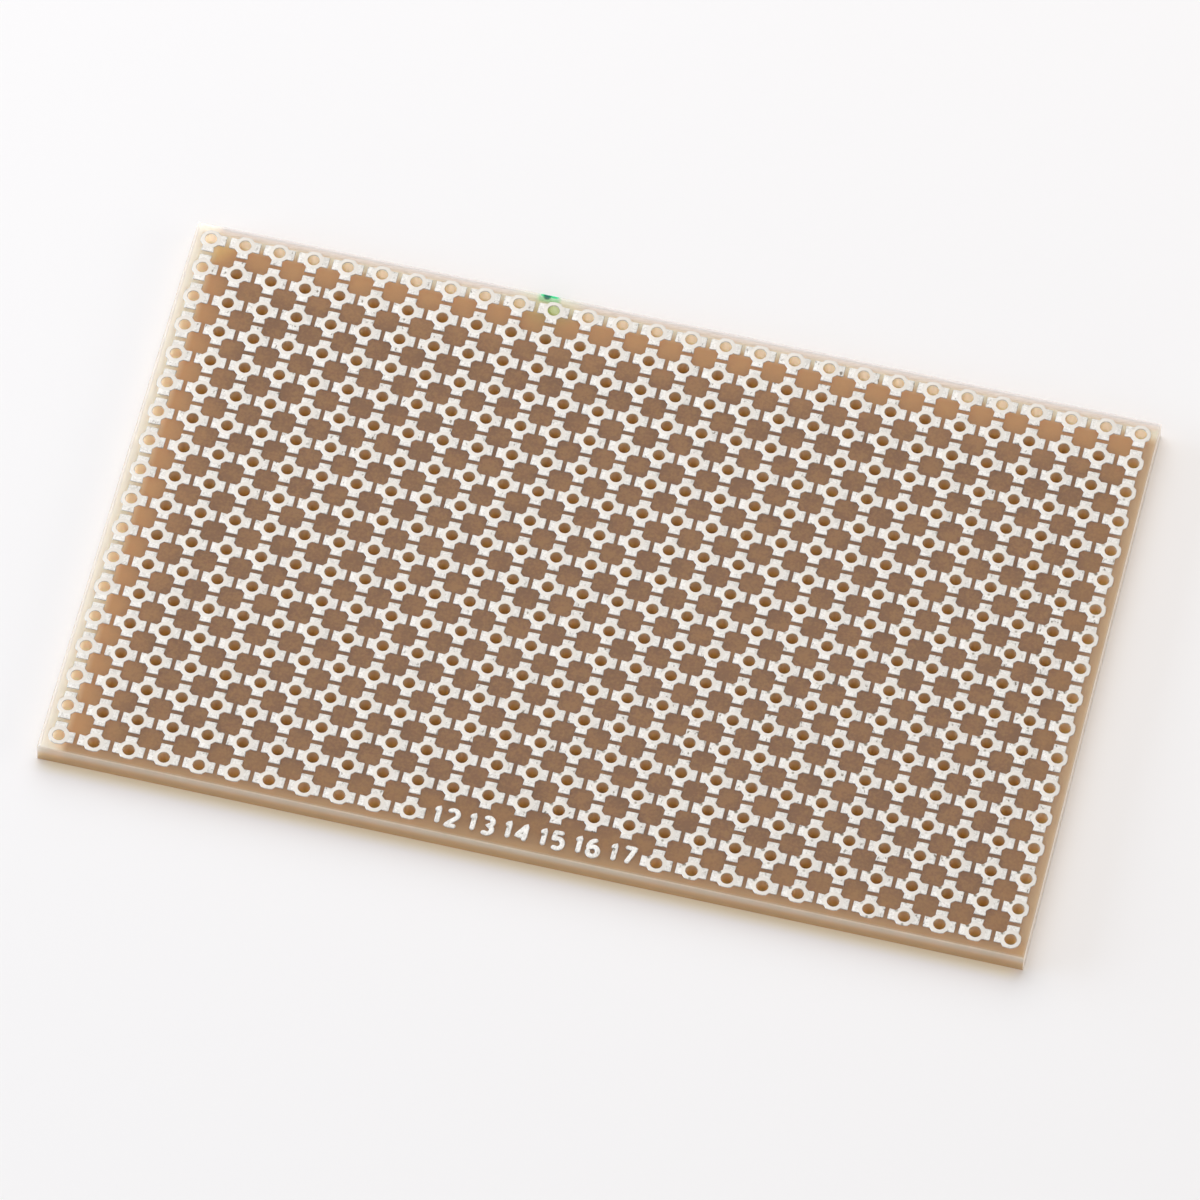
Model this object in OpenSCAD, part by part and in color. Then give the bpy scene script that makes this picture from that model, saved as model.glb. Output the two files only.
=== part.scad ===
// Prototype board: a drilled laminate sheet with a tinned copper land round
// every hole. Each land is a small cross, so a surface-mount part can bridge
// two neighbours and a leaded part can stand in the hole of either.
//
// All lengths are in millimetres. The origin is the centre of the underside,
// +X runs along the rows, +Y runs from the front row to the back row and
// +Z points up out of the land side.

/* [Hole grid] */
// Holes in each row, along the board's length
columns = 28; // [12:2:36]
// Rows of holes, across the board's width
rows = 18; // [4:1:28]
// Distance between neighbouring holes
pitch = 2.54; // [2.4:0.01:3.2]
// Diameter of each drilled hole
hole_d = 0.85; // [0.6:0.05:1]

/* [Laminate] */
// Thickness of the sheet
laminate_t = 1.6; // [0.8:0.1:3.2]
// From the outermost hole centres to the sawn edge, at the short ends
end_margin = 1.27; // [1.1:0.01:6]
// From the outermost hole centres to the sawn edge, at the long sides
side_margin = 1.27; // [1.1:0.01:6]
// Width of the broken arris round the upper edge
arris = 0.08; // [0.04:0.01:0.2]

/* [Lands] */
// Bare laminate between the arm tips of two neighbouring lands
land_gap = 0.28; // [0.15:0.01:0.4]
// Width of an arm of the cross
arm_w = 0.92; // [0.7:0.01:1.2]
// Rounding of the corners at an arm's tip
tip_r = 0.08; // [0.04:0.01:0.15]
// Diameter of the ring round the hole, which swells out between the arms
ring_d = 1.5; // [1.3:0.01:1.8]
// Thickness of the copper foil with its coat of solder
land_t = 0.06; // [0.03:0.01:0.15]

/* [Bare place in the front row] */
// Columns of the front row that have neither a hole nor a land
bare_columns = 6; // [0:2:10]

/* [Hidden] */
$fn = 48;
// A cut that runs this far past a face leaves no skin on it
overrun = 0.5;
board_l = (columns - 1) * pitch + 2 * end_margin;
board_w = (rows - 1) * pitch + 2 * side_margin;
land_span = pitch - land_gap;
first_bare = (columns - bare_columns) / 2;
last_bare = first_bare + bare_columns - 1;
lamina = "#8f7158";
tin = "#e3dfda";

function column_x(c) = (c - (columns - 1) / 2) * pitch;
// Row 0 is the back row, and the last row is the front one
function row_y(r) = ((rows - 1) / 2 - r) * pitch;
function is_bare(c, r) = r == rows - 1 && c >= first_bare && c <= last_bare;
function row_name(r) = str("lands_row_", r < 9 ? "0" : "", r + 1);

// The sheet seen from above, with every hole drilled
module drilled_outline() {
    difference() {
        square([board_l, board_w], center = true);
        for (r = [0:rows - 1], c = [0:columns - 1])
            if (!is_bare(c, r))
                translate([column_x(c), row_y(r)])
                    circle(d = hole_d);
    }
}

// A bar of square section laid along one upper edge, turned to take the arris off it
module arris_cut(length) {
    rotate([45, 0, 0])
        cube([length + 2 * overrun, arris * sqrt(2), arris * sqrt(2)], center = true);
}

module laminate() {
    color(lamina)
        difference() {
            linear_extrude(laminate_t)
                drilled_outline();
            for (side = [-1, 1]) {
                translate([0, side * board_w / 2, laminate_t])
                    arris_cut(board_l);
                translate([side * board_l / 2, 0, laminate_t])
                    rotate([0, 0, 90])
                        arris_cut(board_w);
            }
        }
}

// One arm, from the centre of the land to its tip at +X, with rounded tip corners
module arm() {
    square_end = land_span / 2 - tip_r;
    translate([0, -arm_w / 2])
        square([square_end, arm_w]);
    translate([0, tip_r - arm_w / 2])
        square([land_span / 2, arm_w - 2 * tip_r]);
    for (side = [-1, 1])
        translate([square_end, side * (arm_w / 2 - tip_r)])
            circle(r = tip_r);
}

// A land: a ring with an arm towards each neighbour, and none over the board's edge
module land(turns) {
    linear_extrude(land_t)
        difference() {
            union() {
                circle(d = ring_d);
                for (turn = turns)
                    rotate(turn)
                        arm();
            }
            circle(d = hole_d);
        }
}

// The directions, in degrees from +X, in which the land at column c of row r has an arm
function arm_turns(c, r) = concat(
    c < columns - 1 ? [0] : [],
    r > 0 ? [90] : [],
    c > 0 ? [180] : [],
    r < rows - 1 ? [270] : []
);

module lands_row(r) {
    color(tin)
        for (c = [0:columns - 1])
            if (!is_bare(c, r))
                translate([column_x(c), row_y(r), laminate_t])
                    land(arm_turns(c, r));
}

laminate();
for (r = [0:rows - 1])
    lands_row(r);
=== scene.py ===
# %% [markdown]
# # Prototype board
#
# The object is a thin sheet of brown glass-epoxy laminate, drilled all over on a tenth-of-an-inch
# grid, with a tinned copper cross round every hole. Its look comes from three things: the outline
# and the soft crown of the crosses, light that seeps into the sheet through its edges, and the
# white of the solder. This lesson builds them one at a time round a fixed frame from a CAD model.
#
# The frame comes first. It fixes where the sheet and the rows of lands are, so every size that can
# be read from it is read from it. Only what a box can't tell, such as the width of an arm, is
# written as a number.

# %% Load the fixed frame and read the sizes off it
import math

import bmesh
import bpy
from mathutils import Matrix, Vector


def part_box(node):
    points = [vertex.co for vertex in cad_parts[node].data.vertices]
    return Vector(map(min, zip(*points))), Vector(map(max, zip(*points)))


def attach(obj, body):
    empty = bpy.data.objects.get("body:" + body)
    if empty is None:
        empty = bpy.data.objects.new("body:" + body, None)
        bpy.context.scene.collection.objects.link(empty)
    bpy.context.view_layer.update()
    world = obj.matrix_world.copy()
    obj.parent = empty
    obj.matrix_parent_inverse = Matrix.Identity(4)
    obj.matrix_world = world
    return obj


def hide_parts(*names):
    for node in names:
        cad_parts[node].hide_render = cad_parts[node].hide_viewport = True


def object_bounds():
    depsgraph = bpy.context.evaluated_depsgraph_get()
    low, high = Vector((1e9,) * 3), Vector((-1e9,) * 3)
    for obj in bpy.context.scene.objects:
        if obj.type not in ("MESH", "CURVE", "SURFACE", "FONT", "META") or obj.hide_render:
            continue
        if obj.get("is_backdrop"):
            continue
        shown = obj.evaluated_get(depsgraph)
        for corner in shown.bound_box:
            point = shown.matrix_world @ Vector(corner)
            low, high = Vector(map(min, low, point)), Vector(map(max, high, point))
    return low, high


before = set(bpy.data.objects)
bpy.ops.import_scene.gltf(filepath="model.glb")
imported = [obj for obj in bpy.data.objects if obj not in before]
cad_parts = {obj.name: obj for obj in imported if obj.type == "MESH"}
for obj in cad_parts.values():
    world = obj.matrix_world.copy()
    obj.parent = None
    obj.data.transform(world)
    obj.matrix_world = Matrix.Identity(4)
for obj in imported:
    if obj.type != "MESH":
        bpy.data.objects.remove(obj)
cad_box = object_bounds()

MM = 0.001
sheet_low, sheet_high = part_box("laminate")
row_nodes = sorted(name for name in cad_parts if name.startswith("lands_row_"))
second_low, second_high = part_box(row_nodes[1])
third_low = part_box(row_nodes[2])[0]

SHEET_TOP = sheet_high.z
HALF_LENGTH = sheet_high.x
HALF_WIDTH = sheet_high.y
PITCH = second_low.y - third_low.y
ROWS = len(row_nodes)
COLUMNS = round(2 * HALF_LENGTH / PITCH)
LAND_SPAN = second_high.y - second_low.y
LAND_HEIGHT = second_high.z - SHEET_TOP
RING_RADIUS = (second_high.x - second_low.x - (COLUMNS - 1) * PITCH) / 2

HOLE_RADIUS = 0.425 * MM
ARM_WIDTH = 0.92 * MM
TIP_ROUNDING = 0.08 * MM
BARE_COLUMNS = 6


def column_x(column):
    return (column - (COLUMNS - 1) / 2) * PITCH


def row_y(row):
    return ((ROWS - 1) / 2 - row) * PITCH


def is_bare(column, row):
    """The middle of the front row has neither holes nor lands."""
    first = (COLUMNS - BARE_COLUMNS) // 2
    return row == ROWS - 1 and first <= column < first + BARE_COLUMNS


print(f"{COLUMNS} columns and {ROWS} rows, {PITCH / MM:.2f} mm apart")
print(f"land: {LAND_SPAN / MM:.2f} mm across and {LAND_HEIGHT / MM:.3f} mm high")
print(f"ring radius: {RING_RADIUS / MM:.2f} mm")

# %% [markdown]
# ## Small helpers for modelling by hand
#
# Blender's mesh tools act on what is selected, so most of hand modelling is selecting. Two helpers
# do it: `solo` selects whole objects, and `pick` selects the vertices of the mesh in edit mode that
# pass a test on their place. Each shape is modelled round the origin, at real size, in metres.

# %% Helpers for selecting
TINY = 1e-7
SMOOTH_ANGLE = math.radians(30)


def solo(*pieces):
    """Select these objects and nothing else, and make the first one active."""
    bpy.ops.object.select_all(action="DESELECT")
    for piece in pieces:
        piece.select_set(True)
    bpy.context.view_layer.objects.active = pieces[0]


def pick(test):
    """In edit mode, select exactly the vertices whose place passes the test."""
    bpy.ops.mesh.select_all(action="DESELECT")
    mesh = bmesh.from_edit_mesh(bpy.context.object.data)
    for vertex in mesh.verts:
        if test(vertex.co):
            vertex.select_set(True)
    mesh.select_flush(True)
    bmesh.update_edit_mesh(bpy.context.object.data)


solo(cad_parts["laminate"])
print("selected alone:", [piece.name for piece in bpy.context.selected_objects])

# %% [markdown]
# ## The camera
#
# The sheet lies flat, and the camera looks down on it from the front right with a very long lens,
# so that lines that are parallel on the board stay almost parallel in the picture. The camera is
# rolled by two degrees. It is placed by the point it looks at, two angles, a roll and a distance,
# which are easier to think in than a position and three Euler angles.

# %% The camera
AIM = Vector((0.024 * MM, -1.417 * MM, SHEET_TOP))
AZIMUTH = math.radians(11.71)
ELEVATION = math.radians(58.01)
ROLL = math.radians(2.04)
DISTANCE = 905.2 * MM
LENS = 383.3
SENSOR = 36.0

turn = (
    Matrix.Rotation(AZIMUTH, 4, "Z")
    @ Matrix.Rotation(math.pi / 2 - ELEVATION, 4, "X")
    @ Matrix.Rotation(ROLL, 4, "Z")
)
bpy.ops.object.camera_add()
camera = bpy.context.object
camera.name = "camera"
camera.matrix_world = Matrix.Translation(AIM) @ turn @ Matrix.Translation((0, 0, DISTANCE))
camera.data.lens = LENS
camera.data.sensor_width = SENSOR
camera.data.clip_start = 0.01
bpy.context.scene.camera = camera
print("camera at", [round(x / MM, 1) for x in camera.location], "mm")

# %% [markdown]
# ## One tinned land
#
# A land is a cross of copper foil, etched flat, with a coat of solder that surface tension has
# pulled into a low crown. It could be cut out with booleans, but those leave long n-gons on top
# that shade badly. It grows more cleanly out of the hole: a sixteen-sided circle is extruded
# outwards into the ring, and the three sides that face a neighbour are extruded again into an arm.
# The flat shape that this gives is doubled, its upper copy is inset and lifted in one go, which
# makes the sloping flank of the solder, and the two are welded into one closed skin.
#
# The land is repeated about five hundred times, so each one has fewer than a hundred faces.

# %% Model the lands
SIDES = 16
FLANK = 0.03 * MM
SHOULDER = 0.84 * LAND_HEIGHT
RING_LIFT = 0.03 * LAND_HEIGHT
half_step = math.pi / SIDES
tip = LAND_SPAN / 2
root_x = math.sqrt(RING_RADIUS**2 - (ARM_WIDTH / 2) ** 2)


def along(direction, co):
    """How far a point lies in an arm's direction, and how far to the side of it."""
    x, y = direction
    return co.x * x + co.y * y, co.y * x - co.x * y


def stretch(direction, forward, sideways, centre=(0, 0, 0)):
    """Scale the selection by one factor along an arm and another across it."""
    lengthwise_x = direction[0] != 0
    factors = (forward, sideways, 1) if lengthwise_x else (sideways, forward, 1)
    bpy.ops.transform.resize(value=factors, center_override=centre)


def grow_arm(direction):
    """Extrude the side of the ring that faces this way into an arm with rounded tip corners."""
    on_ring = RING_RADIUS - TINY
    corner_angle = math.cos(3.5 * half_step)
    wide = RING_RADIUS * math.sin(2 * half_step)
    pick(lambda co: co.length > on_ring and along(direction, co)[0] > RING_RADIUS * corner_angle)
    bpy.ops.mesh.extrude_edges_move()
    stretch(direction, 0, 1, (tip * direction[0], tip * direction[1], 0))
    pick(lambda co: along(direction, co)[0] > tip - TINY and abs(along(direction, co)[1]) < wide)
    stretch(direction, 1, (ARM_WIDTH / 2 - TIP_ROUNDING) / (RING_RADIUS * math.sin(half_step)))
    pick(lambda co: along(direction, co)[0] > tip - TINY and abs(along(direction, co)[1]) > wide)
    stretch(direction, 1, ARM_WIDTH / 2 / (RING_RADIUS * math.sin(3 * half_step)))
    pick(
        lambda co: along(direction, co)[0] > tip - TINY
        and abs(along(direction, co)[1]) > ARM_WIDTH / 2 - TINY
    )
    bpy.ops.transform.translate(value=(-TIP_ROUNDING * direction[0], -TIP_ROUNDING * direction[1], 0))
    pick(
        lambda co: abs(co.length - RING_RADIUS) < TINY
        and along(direction, co)[0] > wide
        and abs(along(direction, co)[1]) > wide
    )
    stretch(
        direction,
        root_x / (RING_RADIUS * math.cos(3 * half_step)),
        ARM_WIDTH / 2 / (RING_RADIUS * math.sin(3 * half_step)),
    )


def model_land(name, arms):
    """One land round the origin, standing on z = 0, with an arm in each of these directions."""
    bpy.ops.object.select_all(action="DESELECT")
    bpy.ops.mesh.primitive_circle_add(vertices=SIDES, radius=HOLE_RADIUS, rotation=(0, 0, half_step))
    land = bpy.context.object
    land.name = name
    bpy.ops.object.transform_apply(rotation=True)
    bpy.ops.object.mode_set(mode="EDIT")
    bpy.ops.mesh.select_all(action="SELECT")
    bpy.ops.mesh.extrude_edges_move()
    stretch((1, 0), RING_RADIUS / HOLE_RADIUS, RING_RADIUS / HOLE_RADIUS)
    for direction in arms:
        grow_arm(direction)
    bpy.ops.mesh.select_all(action="SELECT")
    bpy.ops.mesh.normals_make_consistent(inside=False)
    if bmesh.from_edit_mesh(land.data).faces[:][0].normal.z < 0:
        bpy.ops.mesh.flip_normals()
    bpy.ops.mesh.duplicate()
    bpy.ops.mesh.inset(thickness=FLANK, depth=SHOULDER)
    bpy.ops.mesh.select_all(action="SELECT")
    bpy.ops.mesh.remove_doubles(threshold=TINY)
    bpy.ops.mesh.normals_make_consistent(inside=False)
    pick(lambda co: co.z > TINY and co.xy.length < RING_RADIUS + TINY)
    bpy.ops.transform.translate(value=(0, 0, RING_LIFT))
    pick(lambda co: co.z > TINY and co.xy.length < HOLE_RADIUS + 2 * FLANK)
    bpy.ops.transform.translate(value=(0, 0, LAND_HEIGHT - SHOULDER - RING_LIFT))
    bpy.ops.object.mode_set(mode="OBJECT")
    return land


ARM_DIRECTIONS = ((1, 0), (0, 1), (-1, 0), (0, -1))


def arms_at(column, row):
    """A land has an arm towards each neighbour, and none over the edge of the sheet."""
    neighbours = {
        (1, 0): column < COLUMNS - 1,
        (0, 1): row > 0,
        (-1, 0): column > 0,
        (0, -1): row < ROWS - 1,
    }
    return tuple(direction for direction in ARM_DIRECTIONS if neighbours[direction])


patterns = {}
for row in range(ROWS):
    for column in range(COLUMNS):
        arms = arms_at(column, row)
        if arms not in patterns:
            patterns[arms] = model_land(f"land_pattern_{len(patterns)}", arms)
print(f"{len(patterns)} kinds of land, of {[len(land.data.polygons) for land in patterns.values()]} faces")

# %% [markdown]
# ## The rows of lands
#
# Each row is laid out from copies of the patterns, each with its own mesh, and joined into one
# piece that stands for the row of the frame. Real solder never freezes the same way twice, so the
# crowns are then disturbed a little by a displacement that follows a soft noise through space.
# Only the tops move: the feet stay on the sheet.

# %% Lay out the rows
CROWN_UNEVENNESS = 0.016 * MM
CROWN_NOISE_SIZE = 0.9 * MM
# The noise is mostly below this level, so it lowers the crowns far more than it lifts them
CROWN_MID_LEVEL = 0.9
# A hair of air keeps the two faces from fighting over the same plane
FOOT_GAP = 0.002 * MM

crown_noise = bpy.data.textures.new("crown_noise", "CLOUDS")
crown_noise.noise_scale = CROWN_NOISE_SIZE


def lay_land(column, row):
    """A copy of the right pattern at its place in the grid."""
    pattern = patterns[arms_at(column, row)]
    land = pattern.copy()
    land.data = pattern.data.copy()
    land.location = (column_x(column), row_y(row), SHEET_TOP + FOOT_GAP)
    bpy.context.collection.objects.link(land)
    return land


def make_row(row):
    """All the lands of one row as one piece, with uneven crowns."""
    lands = [lay_land(column, row) for column in range(COLUMNS) if not is_bare(column, row)]
    solo(*lands)
    bpy.ops.object.transform_apply(location=True)
    bpy.ops.object.join()
    piece = bpy.context.object
    piece.name = f"tinned_lands_{row + 1:02d}"
    tops = piece.vertex_groups.new(name="tops")
    foot = SHEET_TOP + FOOT_GAP + TINY
    tops.add([v.index for v in piece.data.vertices if v.co.z > foot], 1.0, "REPLACE")
    uneven = piece.modifiers.new("uneven", "DISPLACE")
    uneven.texture = crown_noise
    uneven.texture_coords = "GLOBAL"
    uneven.direction = "Z"
    uneven.mid_level = CROWN_MID_LEVEL
    uneven.strength = CROWN_UNEVENNESS
    uneven.vertex_group = "tops"
    bpy.ops.object.modifier_apply(modifier="uneven")
    bpy.ops.object.shade_smooth_by_angle(angle=SMOOTH_ANGLE)
    return piece


row_pieces = [make_row(row) for row in range(ROWS)]
for pattern in patterns.values():
    bpy.data.objects.remove(pattern)
print(f"{len(row_pieces)} rows, of up to {max(len(p.data.polygons) for p in row_pieces)} faces")

# %% [markdown]
# ## Column numbers in the bare place
#
# The middle of the front row has no holes, so it has room for a legend in the same tinned copper.
# Here it is plain column numbers. An etched figure is drawn by a round pen, so each one is a curve
# with a round bevel, thinned towards its two ends and made a mesh. Its lower half is then pressed
# onto the sheet, and its top is nearly levelled, which leaves a slight crown.

# %% Draw the column numbers
FIGURE_HEIGHT = 1.28 * MM
FIGURE_WIDTH = 0.78 * MM
FIGURE_STEP = 1.06 * MM
PEN_WIDTH = 0.38 * MM
FIGURE_LIFT = 0.12 * MM
FIGURE_Y = row_y(ROWS - 1) + FIGURE_LIFT
# Points along a stroke, in degrees of an arc and in metres, and the thinnest end in pen widths
ARC_STEP = 22
POINT_STEP = PEN_WIDTH / 5
THINNEST_END = 0.15
# The round bevel is levelled at this height, and this much of its crown is kept
TRACE_LEVEL = 0.07 * MM
TRACE_CROWN = 0.15
TRACE_TOP = TRACE_LEVEL + TRACE_CROWN * (PEN_WIDTH / 2 - TRACE_LEVEL)


def arc(x, y, radius_x, radius_y, start, end):
    """Points along an ellipse from one angle to another, in degrees."""
    count = max(3, round(abs(end - start) / ARC_STEP))
    angles = [math.radians(start + (end - start) * i / count) for i in range(count + 1)]
    return [(x + radius_x * math.cos(a), y + radius_y * math.sin(a)) for a in angles]


# Pen strokes of each figure, in a box from (-0.5, -0.5) to (0.5, 0.5)
STROKES = {
    "1": [[(-0.28, 0.26), (0.04, 0.5), (0.04, -0.5)]],
    "2": [arc(0, 0.22, 0.46, 0.28, 160, -35) + [(-0.46, -0.5), (0.5, -0.5)]],
    "3": [arc(0, 0.26, 0.42, 0.24, 150, -90) + arc(0, -0.24, 0.46, 0.26, 90, -150)],
    "4": [[(0.22, -0.5), (0.22, 0.5), (-0.5, -0.2), (0.5, -0.2)]],
    "5": [[(0.42, 0.5), (-0.36, 0.5), (-0.42, 0.06)] + arc(0, -0.18, 0.46, 0.32, 130, -150)],
    "6": [arc(0.12, 0.06, 0.58, 0.44, 75, 180) + arc(0, -0.2, 0.46, 0.3, 180, 520)],
    "7": [[(-0.46, 0.5), (0.46, 0.5), (-0.12, -0.5)]],
}


def even_points(points, step):
    """The same stroke as points a step apart, so that its ends can be thinned over a fixed length."""
    out = [Vector(points[0])]
    for start, end in zip(points, points[1:]):
        start, end = Vector(start), Vector(end)
        count = max(1, round((end - start).length / step))
        out += [start.lerp(end, i / count) for i in range(1, count + 1)]
    return out


def add_stroke(curve, points, centre):
    """One pen stroke, as a poly spline whose radius falls off roundly at both ends."""
    places = [
        Vector((centre[0] + x * FIGURE_WIDTH, centre[1] + y * FIGURE_HEIGHT)) for x, y in points
    ]
    places = even_points(places, POINT_STEP)
    spline = curve.splines.new("POLY")
    spline.points.add(len(places) - 1)
    for i, (point, place) in enumerate(zip(spline.points, places)):
        from_end = min((place - places[0]).length, (place - places[-1]).length)
        reach = 1 - min(1, max(from_end, TINY) / (PEN_WIDTH / 2))
        point.co = (place.x, place.y, 0, 1)
        point.radius = max(THINNEST_END, math.sqrt(1 - reach**2))


def draw_number(number, x):
    """The figures of one number, side by side round x."""
    curve = bpy.data.curves.new(f"number_{number}", "CURVE")
    curve.dimensions = "3D"
    curve.bevel_depth = PEN_WIDTH / 2
    curve.bevel_resolution = 3
    curve.use_fill_caps = True
    figures = str(number)
    for i, figure in enumerate(figures):
        centre = (x + (i - (len(figures) - 1) / 2) * FIGURE_STEP, FIGURE_Y)
        for stroke in STROKES[figure]:
            add_stroke(curve, stroke, centre)
    piece = bpy.data.objects.new(f"column_number_{number}", curve)
    bpy.context.collection.objects.link(piece)
    solo(piece)
    bpy.ops.object.convert(target="MESH")
    bpy.ops.object.mode_set(mode="EDIT")
    pick(lambda co: co.z < 0)
    bpy.ops.transform.resize(value=(1, 1, 0), center_override=(0, 0, 0))
    pick(lambda co: co.z > TRACE_LEVEL)
    bpy.ops.transform.resize(value=(1, 1, TRACE_CROWN), center_override=(0, 0, TRACE_LEVEL))
    bpy.ops.mesh.select_all(action="SELECT")
    bpy.ops.transform.resize(value=(1, 1, LAND_HEIGHT / TRACE_TOP), center_override=(0, 0, 0))
    bpy.ops.transform.translate(value=(0, 0, SHEET_TOP + FOOT_GAP))
    bpy.ops.object.mode_set(mode="OBJECT")
    bpy.ops.object.shade_smooth_by_angle(angle=SMOOTH_ANGLE)
    return piece


first_bare = (COLUMNS - BARE_COLUMNS) // 2
numbers = [draw_number(c + 1, column_x(c)) for c in range(first_bare, first_bare + BARE_COLUMNS)]
print("numbers:", [piece.name for piece in numbers], "faces", [len(p.data.polygons) for p in numbers])

# %% [markdown]
# ## Writing materials as expressions
#
# A procedural material is arithmetic on places. Written as nodes and links it is hard to read, so a
# small class, `Field`, wraps a socket and turns Python's operators into Math nodes. A second class,
# `Finish`, holds the node tree and adds the other kinds of node.

# %% The shader helpers
class Field:
    """A number that varies over a surface: one socket of a node tree, with operators."""

    def __init__(self, finish, socket):
        self.finish = finish
        self.socket = socket

    def math(self, operation, *values):
        return self.finish.node("ShaderNodeMath", {"operation": operation}, dict(enumerate(values)))

    def __add__(self, other):
        return self.math("ADD", self, other)

    __radd__ = __add__

    def __sub__(self, other):
        return self.math("SUBTRACT", self, other)

    def __rsub__(self, other):
        return self.math("SUBTRACT", other, self)

    def __mul__(self, other):
        return self.math("MULTIPLY", self, other)

    def __truediv__(self, other):
        return self.math("DIVIDE", self, other)

    def __abs__(self):
        return self.math("ABSOLUTE", self)

    def __round__(self):
        return self.math("ROUND", self)

    def least(self, other):
        return self.math("MINIMUM", self, other)

    def root(self):
        return self.math("SQRT", self)

    def ramp(self, low, high):
        """0 at low, 1 at high, smooth between and level outside. Low may be above high."""
        start, end = (low, high) if low < high else (high, low)
        rising = self.finish.node(
            "ShaderNodeMapRange",
            {"interpolation_type": "SMOOTHSTEP"},
            {"Value": self, "From Min": start, "From Max": end},
        )
        return rising if low < high else 1 - rising


class Finish:
    """A material under construction: its node tree, its shader and its Object coordinates."""

    def __init__(self, name):
        self.material = bpy.data.materials.new(name)
        self.material.use_nodes = True
        self.tree = self.material.node_tree
        self.shader = self.tree.nodes["Principled BSDF"]
        place = self.tree.nodes.new("ShaderNodeTexCoord").outputs["Object"]
        self.place = Field(self, place)
        split = self.tree.nodes.new("ShaderNodeSeparateXYZ")
        self.tree.links.new(place, split.inputs[0])
        self.x, self.y, self.z = (Field(self, socket) for socket in split.outputs)

    def connect(self, value, socket):
        if isinstance(value, Field):
            self.tree.links.new(value.socket, socket)
        else:
            socket.default_value = value

    def node(self, kind, settings=None, sockets=None):
        """Any node: its settings are set first, then its sockets, by name or number."""
        node = self.tree.nodes.new(kind)
        for name, value in (settings or {}).items():
            setattr(node, name, value)
        for name, value in (sockets or {}).items():
            self.connect(value, node.inputs[name])
        return Field(self, node.outputs[0])

    def noise(self, size, detail, stretch=(1, 1, 1)):
        """Soft noise with features of about this size, in metres."""
        place = self.place
        if stretch != (1, 1, 1):
            place = self.node("ShaderNodeMapping", None, {"Vector": place, "Scale": stretch})
        return self.node(
            "ShaderNodeTexNoise",
            None,
            {"Vector": place, "Scale": 1 / size, "Detail": detail, "Roughness": 0.5},
        )

    def mix(self, factor, first, second):
        """A colour between two colours."""
        node = self.tree.nodes.new("ShaderNodeMix")
        node.data_type = "RGBA"
        self.connect(factor, node.inputs["Factor"])
        self.connect(first, node.inputs[6])
        self.connect(second, node.inputs[7])
        return Field(self, node.outputs[2])

    def distance(self, centre):
        """How far a point is from an upright line through this place."""
        off_x = self.x - centre[0]
        off_y = self.y - centre[1]
        return (off_x * off_x + off_y * off_y).root()

    def off_grid(self, coordinate):
        """How far a coordinate is from the nearest hole's, from -0.5 to 0.5 of the pitch."""
        cell = coordinate / PITCH + 0.5
        return cell - round(cell)

    def from_hole(self, shift=(0, 0)):
        """How far a point is from the axis of the nearest hole, or from a place beside each hole."""
        off_x = self.off_grid(self.x - shift[0])
        off_y = self.off_grid(self.y - shift[1])
        return (off_x * off_x + off_y * off_y).root() * PITCH

    def bump(self, height, distance, strength):
        return self.node(
            "ShaderNodeBump", None, {"Height": height, "Distance": distance, "Strength": strength}
        )

    def set(self, **values):
        """Sockets of the shader, by name with underscores for spaces."""
        for name, value in values.items():
            self.connect(value, self.shader.inputs[name.replace("_", " ")])
        return self.material

    def principled(self, **values):
        """A second shader of the same kind, for a surface that the first one doesn't suit."""
        sockets = {name.replace("_", " "): value for name, value in values.items()}
        return self.node("ShaderNodeBsdfPrincipled", None, sockets)

    def cover(self, factor, upper):
        """Lay a second shader over the first one by this much."""
        mix = self.tree.nodes.new("ShaderNodeMixShader")
        self.connect(factor, mix.inputs["Fac"])
        self.tree.links.new(self.shader.outputs[0], mix.inputs[1])
        self.tree.links.new(upper.socket, mix.inputs[2])
        self.tree.links.new(mix.outputs[0], self.tree.nodes["Material Output"].inputs["Surface"])


def srgb(red, green, blue):
    """A screen colour of 0 to 255 as the linear colour that a shader takes."""
    parts = [c / 255 for c in (red, green, blue)]
    return tuple(c / 12.92 if c <= 0.04045 else ((c + 0.055) / 1.055) ** 2.4 for c in parts) + (1.0,)


print("a mid grey of 128 is", round(srgb(128, 128, 128)[0], 3), "in linear light")

# %% [markdown]
# ## The laminate
#
# Bare glass-epoxy is a dull amber that light gets into. Where the tin covers it, little light
# enters, and the squares between the lands look dark brown. Near the sawn edges light comes in from
# the side as well, and the rims on the bright side glow cream.
#
# The sheet has subsurface scattering, but that alone gives too little of the glow. Three things
# help it: the base colour is paler along the rims, the hole walls have a faint emission, and a matt
# shader covers part of the scattering on the front and right faces. They suit this light only, and
# under a lamp from another side they would be partly wrong.

# %% The laminate's finish
GREEN_MARK = (-9.45 * MM, 22.86 * MM)
GREEN_CORE = (-9.62 * MM, 22.70 * MM)
GREEN_HOLE = (column_x(10), row_y(0))


def at_face(distance):
    """1 on a sawn face, which lies at distance 0, and 0 on the flat of the sheet."""
    return distance.ramp(0.075 * MM, 0.05 * MM)


def by_outer_holes(distance):
    """Near 1 at the outermost holes along a rim, and 0 at the next ones."""
    return distance.ramp(2.2 * MM, 1.2 * MM)


def below_surface(distance):
    """0 on the sheet's upper or lower face, and 1 just inside it."""
    return distance.ramp(0.004 * MM, 0.012 * MM)


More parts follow.
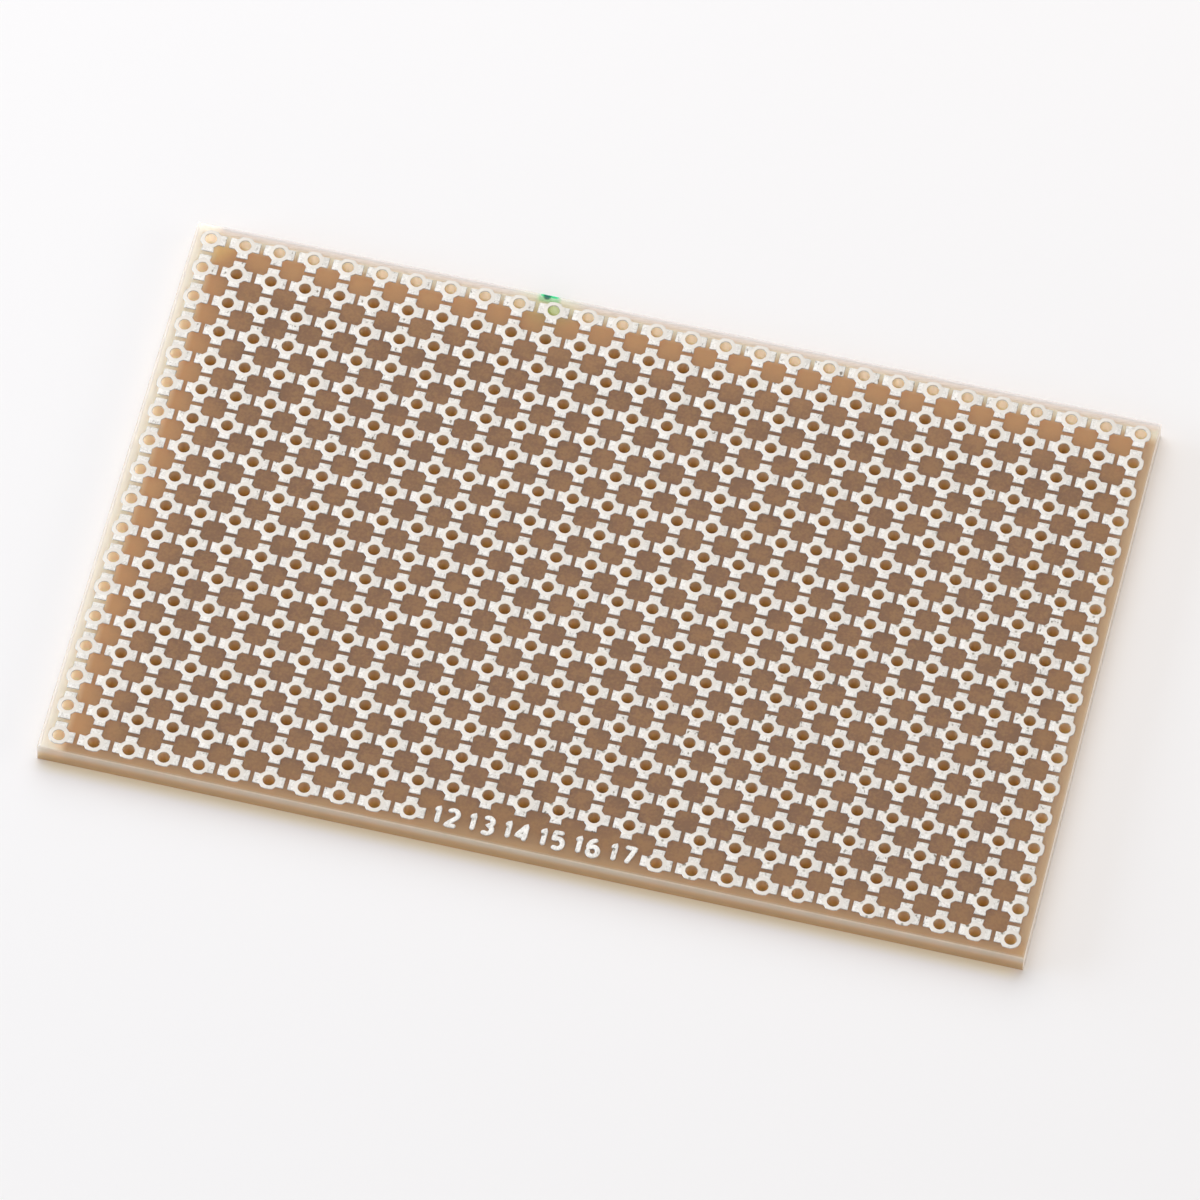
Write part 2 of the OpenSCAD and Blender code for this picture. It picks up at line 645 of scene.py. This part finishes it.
def laminate_finish():
    finish = Finish("laminate")
    left = finish.x + HALF_LENGTH
    right = HALF_LENGTH - finish.x
    back = HALF_WIDTH - finish.y
    front = finish.y + HALF_WIDTH
    depth = SHEET_TOP - finish.z
    side = at_face(left.least(right).least(back).least(front))
    front_face = at_face(front)
    right_face = at_face(right)
    cloudy = finish.noise(1.6 * MM, 3.0)
    grain = finish.noise(0.22 * MM, 3.0)
    ragged = finish.noise(1.1 * MM, 4.0) * 0.12 * MM

    # The sheet is amber inside. Its rims are painted light and shade: paler where light seeps in through
    # the rims
    # that face the window, a little paler at the right and front, and darker in a thin line at the very
    # back and left edges
    mottle = (cloudy * 0.5 + grain * 0.5).ramp(0.38, 0.62)
    color = finish.mix(mottle, srgb(129, 82, 28), srgb(155, 104, 45))
    color = finish.mix(right.least(front).ramp(3.8 * MM, 2.4 * MM) * 0.35, color, srgb(164, 113, 46))
    color = finish.mix(left.least(back).ramp(6.5 * MM, 0.9 * MM), color, srgb(200, 139, 76))
    color = finish.mix((left + back).ramp(6.0 * MM, 2.6 * MM), color, srgb(255, 196, 108))
    color = finish.mix(right.ramp(1.9 * MM, 0.4 * MM), color, srgb(173, 137, 98))
    color = finish.mix(front.ramp(1.9 * MM, 0.4 * MM), color, srgb(162, 121, 75))
    color = finish.mix(back.ramp(2.0 * MM, 1.0 * MM), color, srgb(252, 218, 176))
    color = finish.mix(back.ramp(0.95 * MM, 0.5 * MM), color, srgb(188, 167, 150))
    color = finish.mix(back.ramp(0.5 * MM, 0.2 * MM), color, srgb(132, 119, 112))
    color = finish.mix(left.ramp(2.2 * MM, 1.1 * MM), color, srgb(255, 220, 178))
    color = finish.mix(left.ramp(1.0 * MM, 0.4 * MM), color, srgb(230, 204, 173))
    color = finish.mix(left.ramp(0.32 * MM, 0.18 * MM), color, srgb(186, 167, 147))

    # Hole walls are painted paler, a painted glow of light that comes through the sheet, and paler still
    # along the left and back rims
    between_faces = below_surface(depth) * below_surface(finish.z)
    wall = finish.from_hole().ramp(HOLE_RADIUS + 0.03 * MM, HOLE_RADIUS + 0.01 * MM) * between_faces
    glow = finish.mix(depth.ramp(0.1 * MM, 1.3 * MM), srgb(232, 186, 150), srgb(252, 180, 86))
    glow = finish.mix(by_outer_holes(left.least(back)), glow, srgb(252, 202, 144))
    color = finish.mix(wall, color, glow)

    # Sawn faces are matt with torn glass fibre. Their colour is partly painted light: the broken upper
    # edge is white with fibre and a painted highlight, the lower part has a painted amber glow, the right
    # face is painted paler and the left and back faces darker
    frayed_highlight = (depth + ragged * 1.4).ramp(0.22 * MM, 0.08 * MM)
    sawn_painted_light = finish.mix(depth.ramp(0.3 * MM, 1.0 * MM), srgb(240, 208, 180), srgb(255, 186, 122))
    sawn_painted_light = finish.mix(right_face, sawn_painted_light, srgb(255, 238, 214))
    sawn_painted_light = finish.mix(at_face(left.least(back)), sawn_painted_light, srgb(196, 176, 154))
    sawn_painted_light = finish.mix(frayed_highlight * 0.4, sawn_painted_light, srgb(226, 202, 178))
    color = finish.mix(side, color, sawn_painted_light)
    whitened = (right.least(front) + ragged).ramp(0.34 * MM, 0.10 * MM)
    color = finish.mix(whitened * (1 - side) * 0.12, color, srgb(226, 218, 212))

    # A green marker stroke on the back rim, with its stain on the face and in one hole
    along_mark = abs(finish.x - GREEN_MARK[0])
    tint = finish.distance(GREEN_MARK).ramp(3.4 * MM, 0.6 * MM)
    color = finish.mix(tint * 0.3, color, srgb(172, 186, 96))
    stain = along_mark.ramp(1.0 * MM, 0.6 * MM) * (back + ragged).ramp(1.05 * MM, 0.45 * MM)
    color = finish.mix(stain * 0.95, color, srgb(64, 148, 66))
    stroke = along_mark.ramp(0.9 * MM, 0.5 * MM) * (back + ragged).ramp(0.38 * MM, 0.22 * MM)
    color = finish.mix(stroke, color, srgb(0, 98, 36))
    core = finish.distance(GREEN_CORE).ramp(0.40 * MM, 0.20 * MM)
    color = finish.mix(core, color, srgb(0, 30, 22))
    green_wall = finish.distance(GREEN_HOLE).ramp(0.5 * MM, 0.46 * MM) * wall
    color = finish.mix(green_wall, color, srgb(176, 208, 112))

    # A faint emission stands for light that travels inside the sheet and comes out in the holes
    deep = depth.ramp(0.7 * MM, 1.3 * MM)
    at_left = finish.mix(deep, (0.155, 0.115, 0.115, 1), (0.265, 0.235, 0.155, 1))
    at_back = finish.mix(deep, (0.035, 0.004, 0.008, 1), (0.20, 0.155, 0.09, 1))
    at_front = finish.mix(deep, (0.045, 0.024, 0.014, 1), (0.075, 0.068, 0.036, 1))
    inner = (0.021, 0.011, 0.006, 1)
    guided = finish.mix(by_outer_holes(right.least(front)), inner, at_front)
    guided = finish.mix(by_outer_holes(back), guided, at_back)
    guided = finish.mix(by_outer_holes(left), guided, at_left)
    guided = finish.mix(wall, (0, 0, 0, 1), guided)
    finish.set(
        Base_Color=color,
        Roughness=0.3 + stroke * 0.6,
        Subsurface_Weight=1.0,
        Subsurface_Radius=(1.0, 1.0, 1.0),
        Subsurface_Scale=8.0 * MM,
        Emission_Color=guided,
        Emission_Strength=1.0,
        Normal=finish.bump(grain * 0.5 + cloudy * 0.5, 0.02 * MM, 0.3),
    )

    # Matt fibre covers part of the scattering on the front and right faces, which are less lit
    streaks = finish.noise(0.5 * MM, 3.0, stretch=(0.25, 0.25, 2.0))
    # Its colours are partly painted light: an amber glow at the foot, a highlight on the fibre of the
    # upper edge and a paler right face
    matt_painted_light = finish.mix(depth.ramp(0.2 * MM, 0.9 * MM), srgb(194, 175, 156), srgb(196, 151, 120))
    matt_painted_light = finish.mix(depth.ramp(1.1 * MM, 1.5 * MM), matt_painted_light, srgb(232, 184, 134))
    matt_painted_light = finish.mix(streaks.ramp(0.35, 0.65) * 0.3, matt_painted_light, srgb(180, 150, 120))
    matt_painted_light = finish.mix(frayed_highlight * 0.8, matt_painted_light, srgb(232, 210, 186))
    matt_painted_light = finish.mix(right_face, matt_painted_light, srgb(250, 230, 212))
    saw_cut = finish.principled(Base_Color=matt_painted_light, Roughness=0.5)
    finish.cover(front_face * 0.55 + right_face * 0.4, saw_cut)
    return finish.material


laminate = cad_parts["laminate"]
laminate.data.materials.clear()
laminate.data.materials.append(laminate_finish())
print("laminate material:", laminate.data.materials[0].name)

# %% [markdown]
# ## The tin
#
# Levelled solder is a soft white metal. Its polish is broken by a fine grain, so it mirrors the
# bright room only as a blur. Flecks are pits in its coat, sunk by the bump, with painted shade as
# their dark colour, and a broad noise makes them denser in some places. Two more kinds of dark mark,
# painted shade of small dips, sit at a fixed place beside a hole, on some of the lands only, and
# they are stronger towards the front right.
#
# A faint shade is painted across each land, darker to the right and to the back. Like the rims of
# the laminate, it suits this light only.

# %% The tin's finish
BARE_HALF = BARE_COLUMNS / 2 * PITCH
MASK_EDGE = 0.05 * MM
NICK_PLACE = (0, -0.64 * MM)
SHOULDER_PLACE = (-0.62 * MM, 0.36 * MM)


def tin_finish():
    finish = Finish("tin")
    cloudy = finish.noise(0.5 * MM, 3.0)
    grain = finish.noise(0.13 * MM, 3.0)
    # The column numbers stand where holes would be, so what follows the holes is left off there
    above_bare = row_y(ROWS - 1) + PITCH / 2
    in_bare = abs(finish.x).ramp(BARE_HALF + MASK_EDGE, BARE_HALF - MASK_EDGE)
    in_bare = in_bare * finish.y.ramp(above_bare + MASK_EDGE, above_bare - MASK_EDGE)
    on_lands = 1 - in_bare
    arms = 1 - finish.from_hole().ramp(0.80 * MM, 0.66 * MM) * on_lands
    crowded = finish.noise(22.0 * MM, 1.0).ramp(0.35, 0.65)
    pits = finish.noise(0.24 * MM, 3.0, stretch=(1.0, 0.6, 1.0))
    # Flecks: pits that the bump sinks, with painted shade as their dark colour
    flecks = pits.ramp(0.61, 0.71) * arms * (0.35 + crowded * 0.65)
    patchy = finish.noise(3.1 * MM, 1.0)
    # Two kinds of dark mark beside each hole, painted shade of small dips, stronger towards the front
    # right
    nick_shade = finish.from_hole(NICK_PLACE).ramp(0.13 * MM, 0.05 * MM)
    nick_shade = nick_shade * patchy.ramp(0.45, 0.60) * pits.ramp(0.25, 0.42)
    shoulder_shade = finish.from_hole(SHOULDER_PLACE).ramp(0.18 * MM, 0.08 * MM)
    shoulder_shade = shoulder_shade * patchy.ramp(0.64, 0.52)
    toward_front_right = (finish.x - finish.y).ramp(8.0 * MM, 24.0 * MM) * 0.8 + 0.1
    marks = (nick_shade * 0.8 + shoulder_shade * (0.4 + pits.ramp(0.35, 0.5) * 0.6)) * toward_front_right
    mottle = (cloudy * 0.35 + grain * 0.65).ramp(0.36, 0.62)

    color = finish.mix(mottle, srgb(197, 195, 191), srgb(225, 224, 221))
    color = finish.mix(1 - arms, color, srgb(204, 201, 196))
    # Painted shade across each land, darker to the right and to the back
    shade_across_land = finish.off_grid(finish.x).ramp(-0.42, 0.42) * on_lands
    color = finish.mix(shade_across_land * 0.14, color, srgb(120, 118, 114))
    shade_along_land = finish.off_grid(finish.y).ramp(-0.42, 0.42) * on_lands
    color = finish.mix(shade_along_land * 0.10, color, srgb(140, 126, 100))
    color = finish.mix(flecks * 0.9, color, srgb(112, 104, 90))
    color = finish.mix(marks, color, srgb(104, 98, 84))
    relief = (grain * 0.4 + cloudy * 0.6) * (0.3 + arms * 0.7) - flecks * 0.6
    return finish.set(
        Base_Color=color,
        Metallic=1.0,
        Roughness=0.46 + arms * 0.06 + grain * 0.12,
        Normal=finish.bump(relief, 0.03 * MM, 0.4),
    )


tin = tin_finish()
for row, piece in enumerate(row_pieces):
    piece.data.materials.append(tin)
    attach(piece, "root")
    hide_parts(row_nodes[row])
for piece in numbers:
    piece.data.materials.append(tin)
    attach(piece, "root")
print("tin on", len(row_pieces) + len(numbers), "pieces")

# %% [markdown]
# ## Floor and light
#
# The board lies on a plain white table. A broad soft lamp at the back left is the main light, and a
# lower one stands for a window on the left. Two weak fills come from the right and the front, and a
# pale room gives the rest. A narrow strip of the table before the board's front edge is painted a
# warm glow, for light that comes out at the foot of the sheet.

# %% The floor
FLOOR_SIZE = 3.0
FLOOR_GAP = 0.004 * MM

bpy.ops.object.select_all(action="DESELECT")
bpy.ops.mesh.primitive_plane_add(size=FLOOR_SIZE, location=(0, 0, sheet_low.z - FLOOR_GAP))
floor = bpy.context.object
floor.name = "floor"
floor_finish = Finish("floor")
# Painted light: a warm glow on the table in a narrow strip before the board's front edge
before_board = abs(floor_finish.x).ramp(HALF_LENGTH + 0.5 * MM, HALF_LENGTH - 1.5 * MM)
painted_warm_glow = abs(floor_finish.y + HALF_WIDTH).ramp(1.3 * MM, 0.1 * MM) * before_board
floor_color = floor_finish.mix(painted_warm_glow, (0.93, 0.92, 0.925, 1), (0.98, 0.95, 0.77, 1))
floor_finish.set(Base_Color=floor_color, Roughness=0.9, Specular_IOR_Level=0.2)
floor.data.materials.append(floor_finish.material)
floor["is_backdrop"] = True
print("floor just under the sheet")

# %% The light
ROOM_STRENGTH = 0.426

world = bpy.data.worlds.new("room")
world.use_nodes = True
world.node_tree.nodes["Background"].inputs["Color"].default_value = (1.0, 0.98, 0.96, 1)
world.node_tree.nodes["Background"].inputs["Strength"].default_value = ROOM_STRENGTH
bpy.context.scene.world = world


def soft_lamp(name, azimuth, elevation, distance, width, height, power, color):
    """A large lamp that faces the board from this direction."""
    azimuth, elevation = math.radians(azimuth), math.radians(elevation)
    direction = Vector(
        (
            math.cos(azimuth) * math.cos(elevation),
            math.sin(azimuth) * math.cos(elevation),
            math.sin(elevation),
        )
    )
    bpy.ops.object.light_add(type="AREA", location=direction * distance)
    lamp = bpy.context.object
    lamp.name = name
    lamp.rotation_euler = direction.to_track_quat("Z", "Y").to_euler()
    lamp.data.shape = "ELLIPSE"
    lamp.data.size = width
    lamp.data.size_y = height
    lamp.data.energy = power
    lamp.data.color = color
    return lamp


soft_lamp("softbox", 113, 47, 0.9, 1.3, 1.3, 7.3, (1.0, 0.975, 0.96))
soft_lamp("window", 184, 12, 0.9, 1.0, 0.34, 4.9, (0.82, 1.0, 1.19))
soft_lamp("fill", 5, 20, 1.2, 1.0, 0.5, 1.9, (1.0, 0.94, 0.84))
soft_lamp("front_fill", 285, 5, 0.9, 0.8, 0.12, 0.8, (1.0, 0.97, 0.94))
bpy.context.scene.view_settings.view_transform = "Standard"
print("lamps:", [o.name for o in bpy.context.scene.objects if o.type == "LIGHT"])

# %% [markdown]
# ## Finish
#
# The visual model has to fill the same box as the frame.

# %% The sizes of the frame and the visual model
({
        "cad": [list(map(float, corner)) for corner in cad_box],
        "visual": [list(map(float, corner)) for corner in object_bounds()],
    })
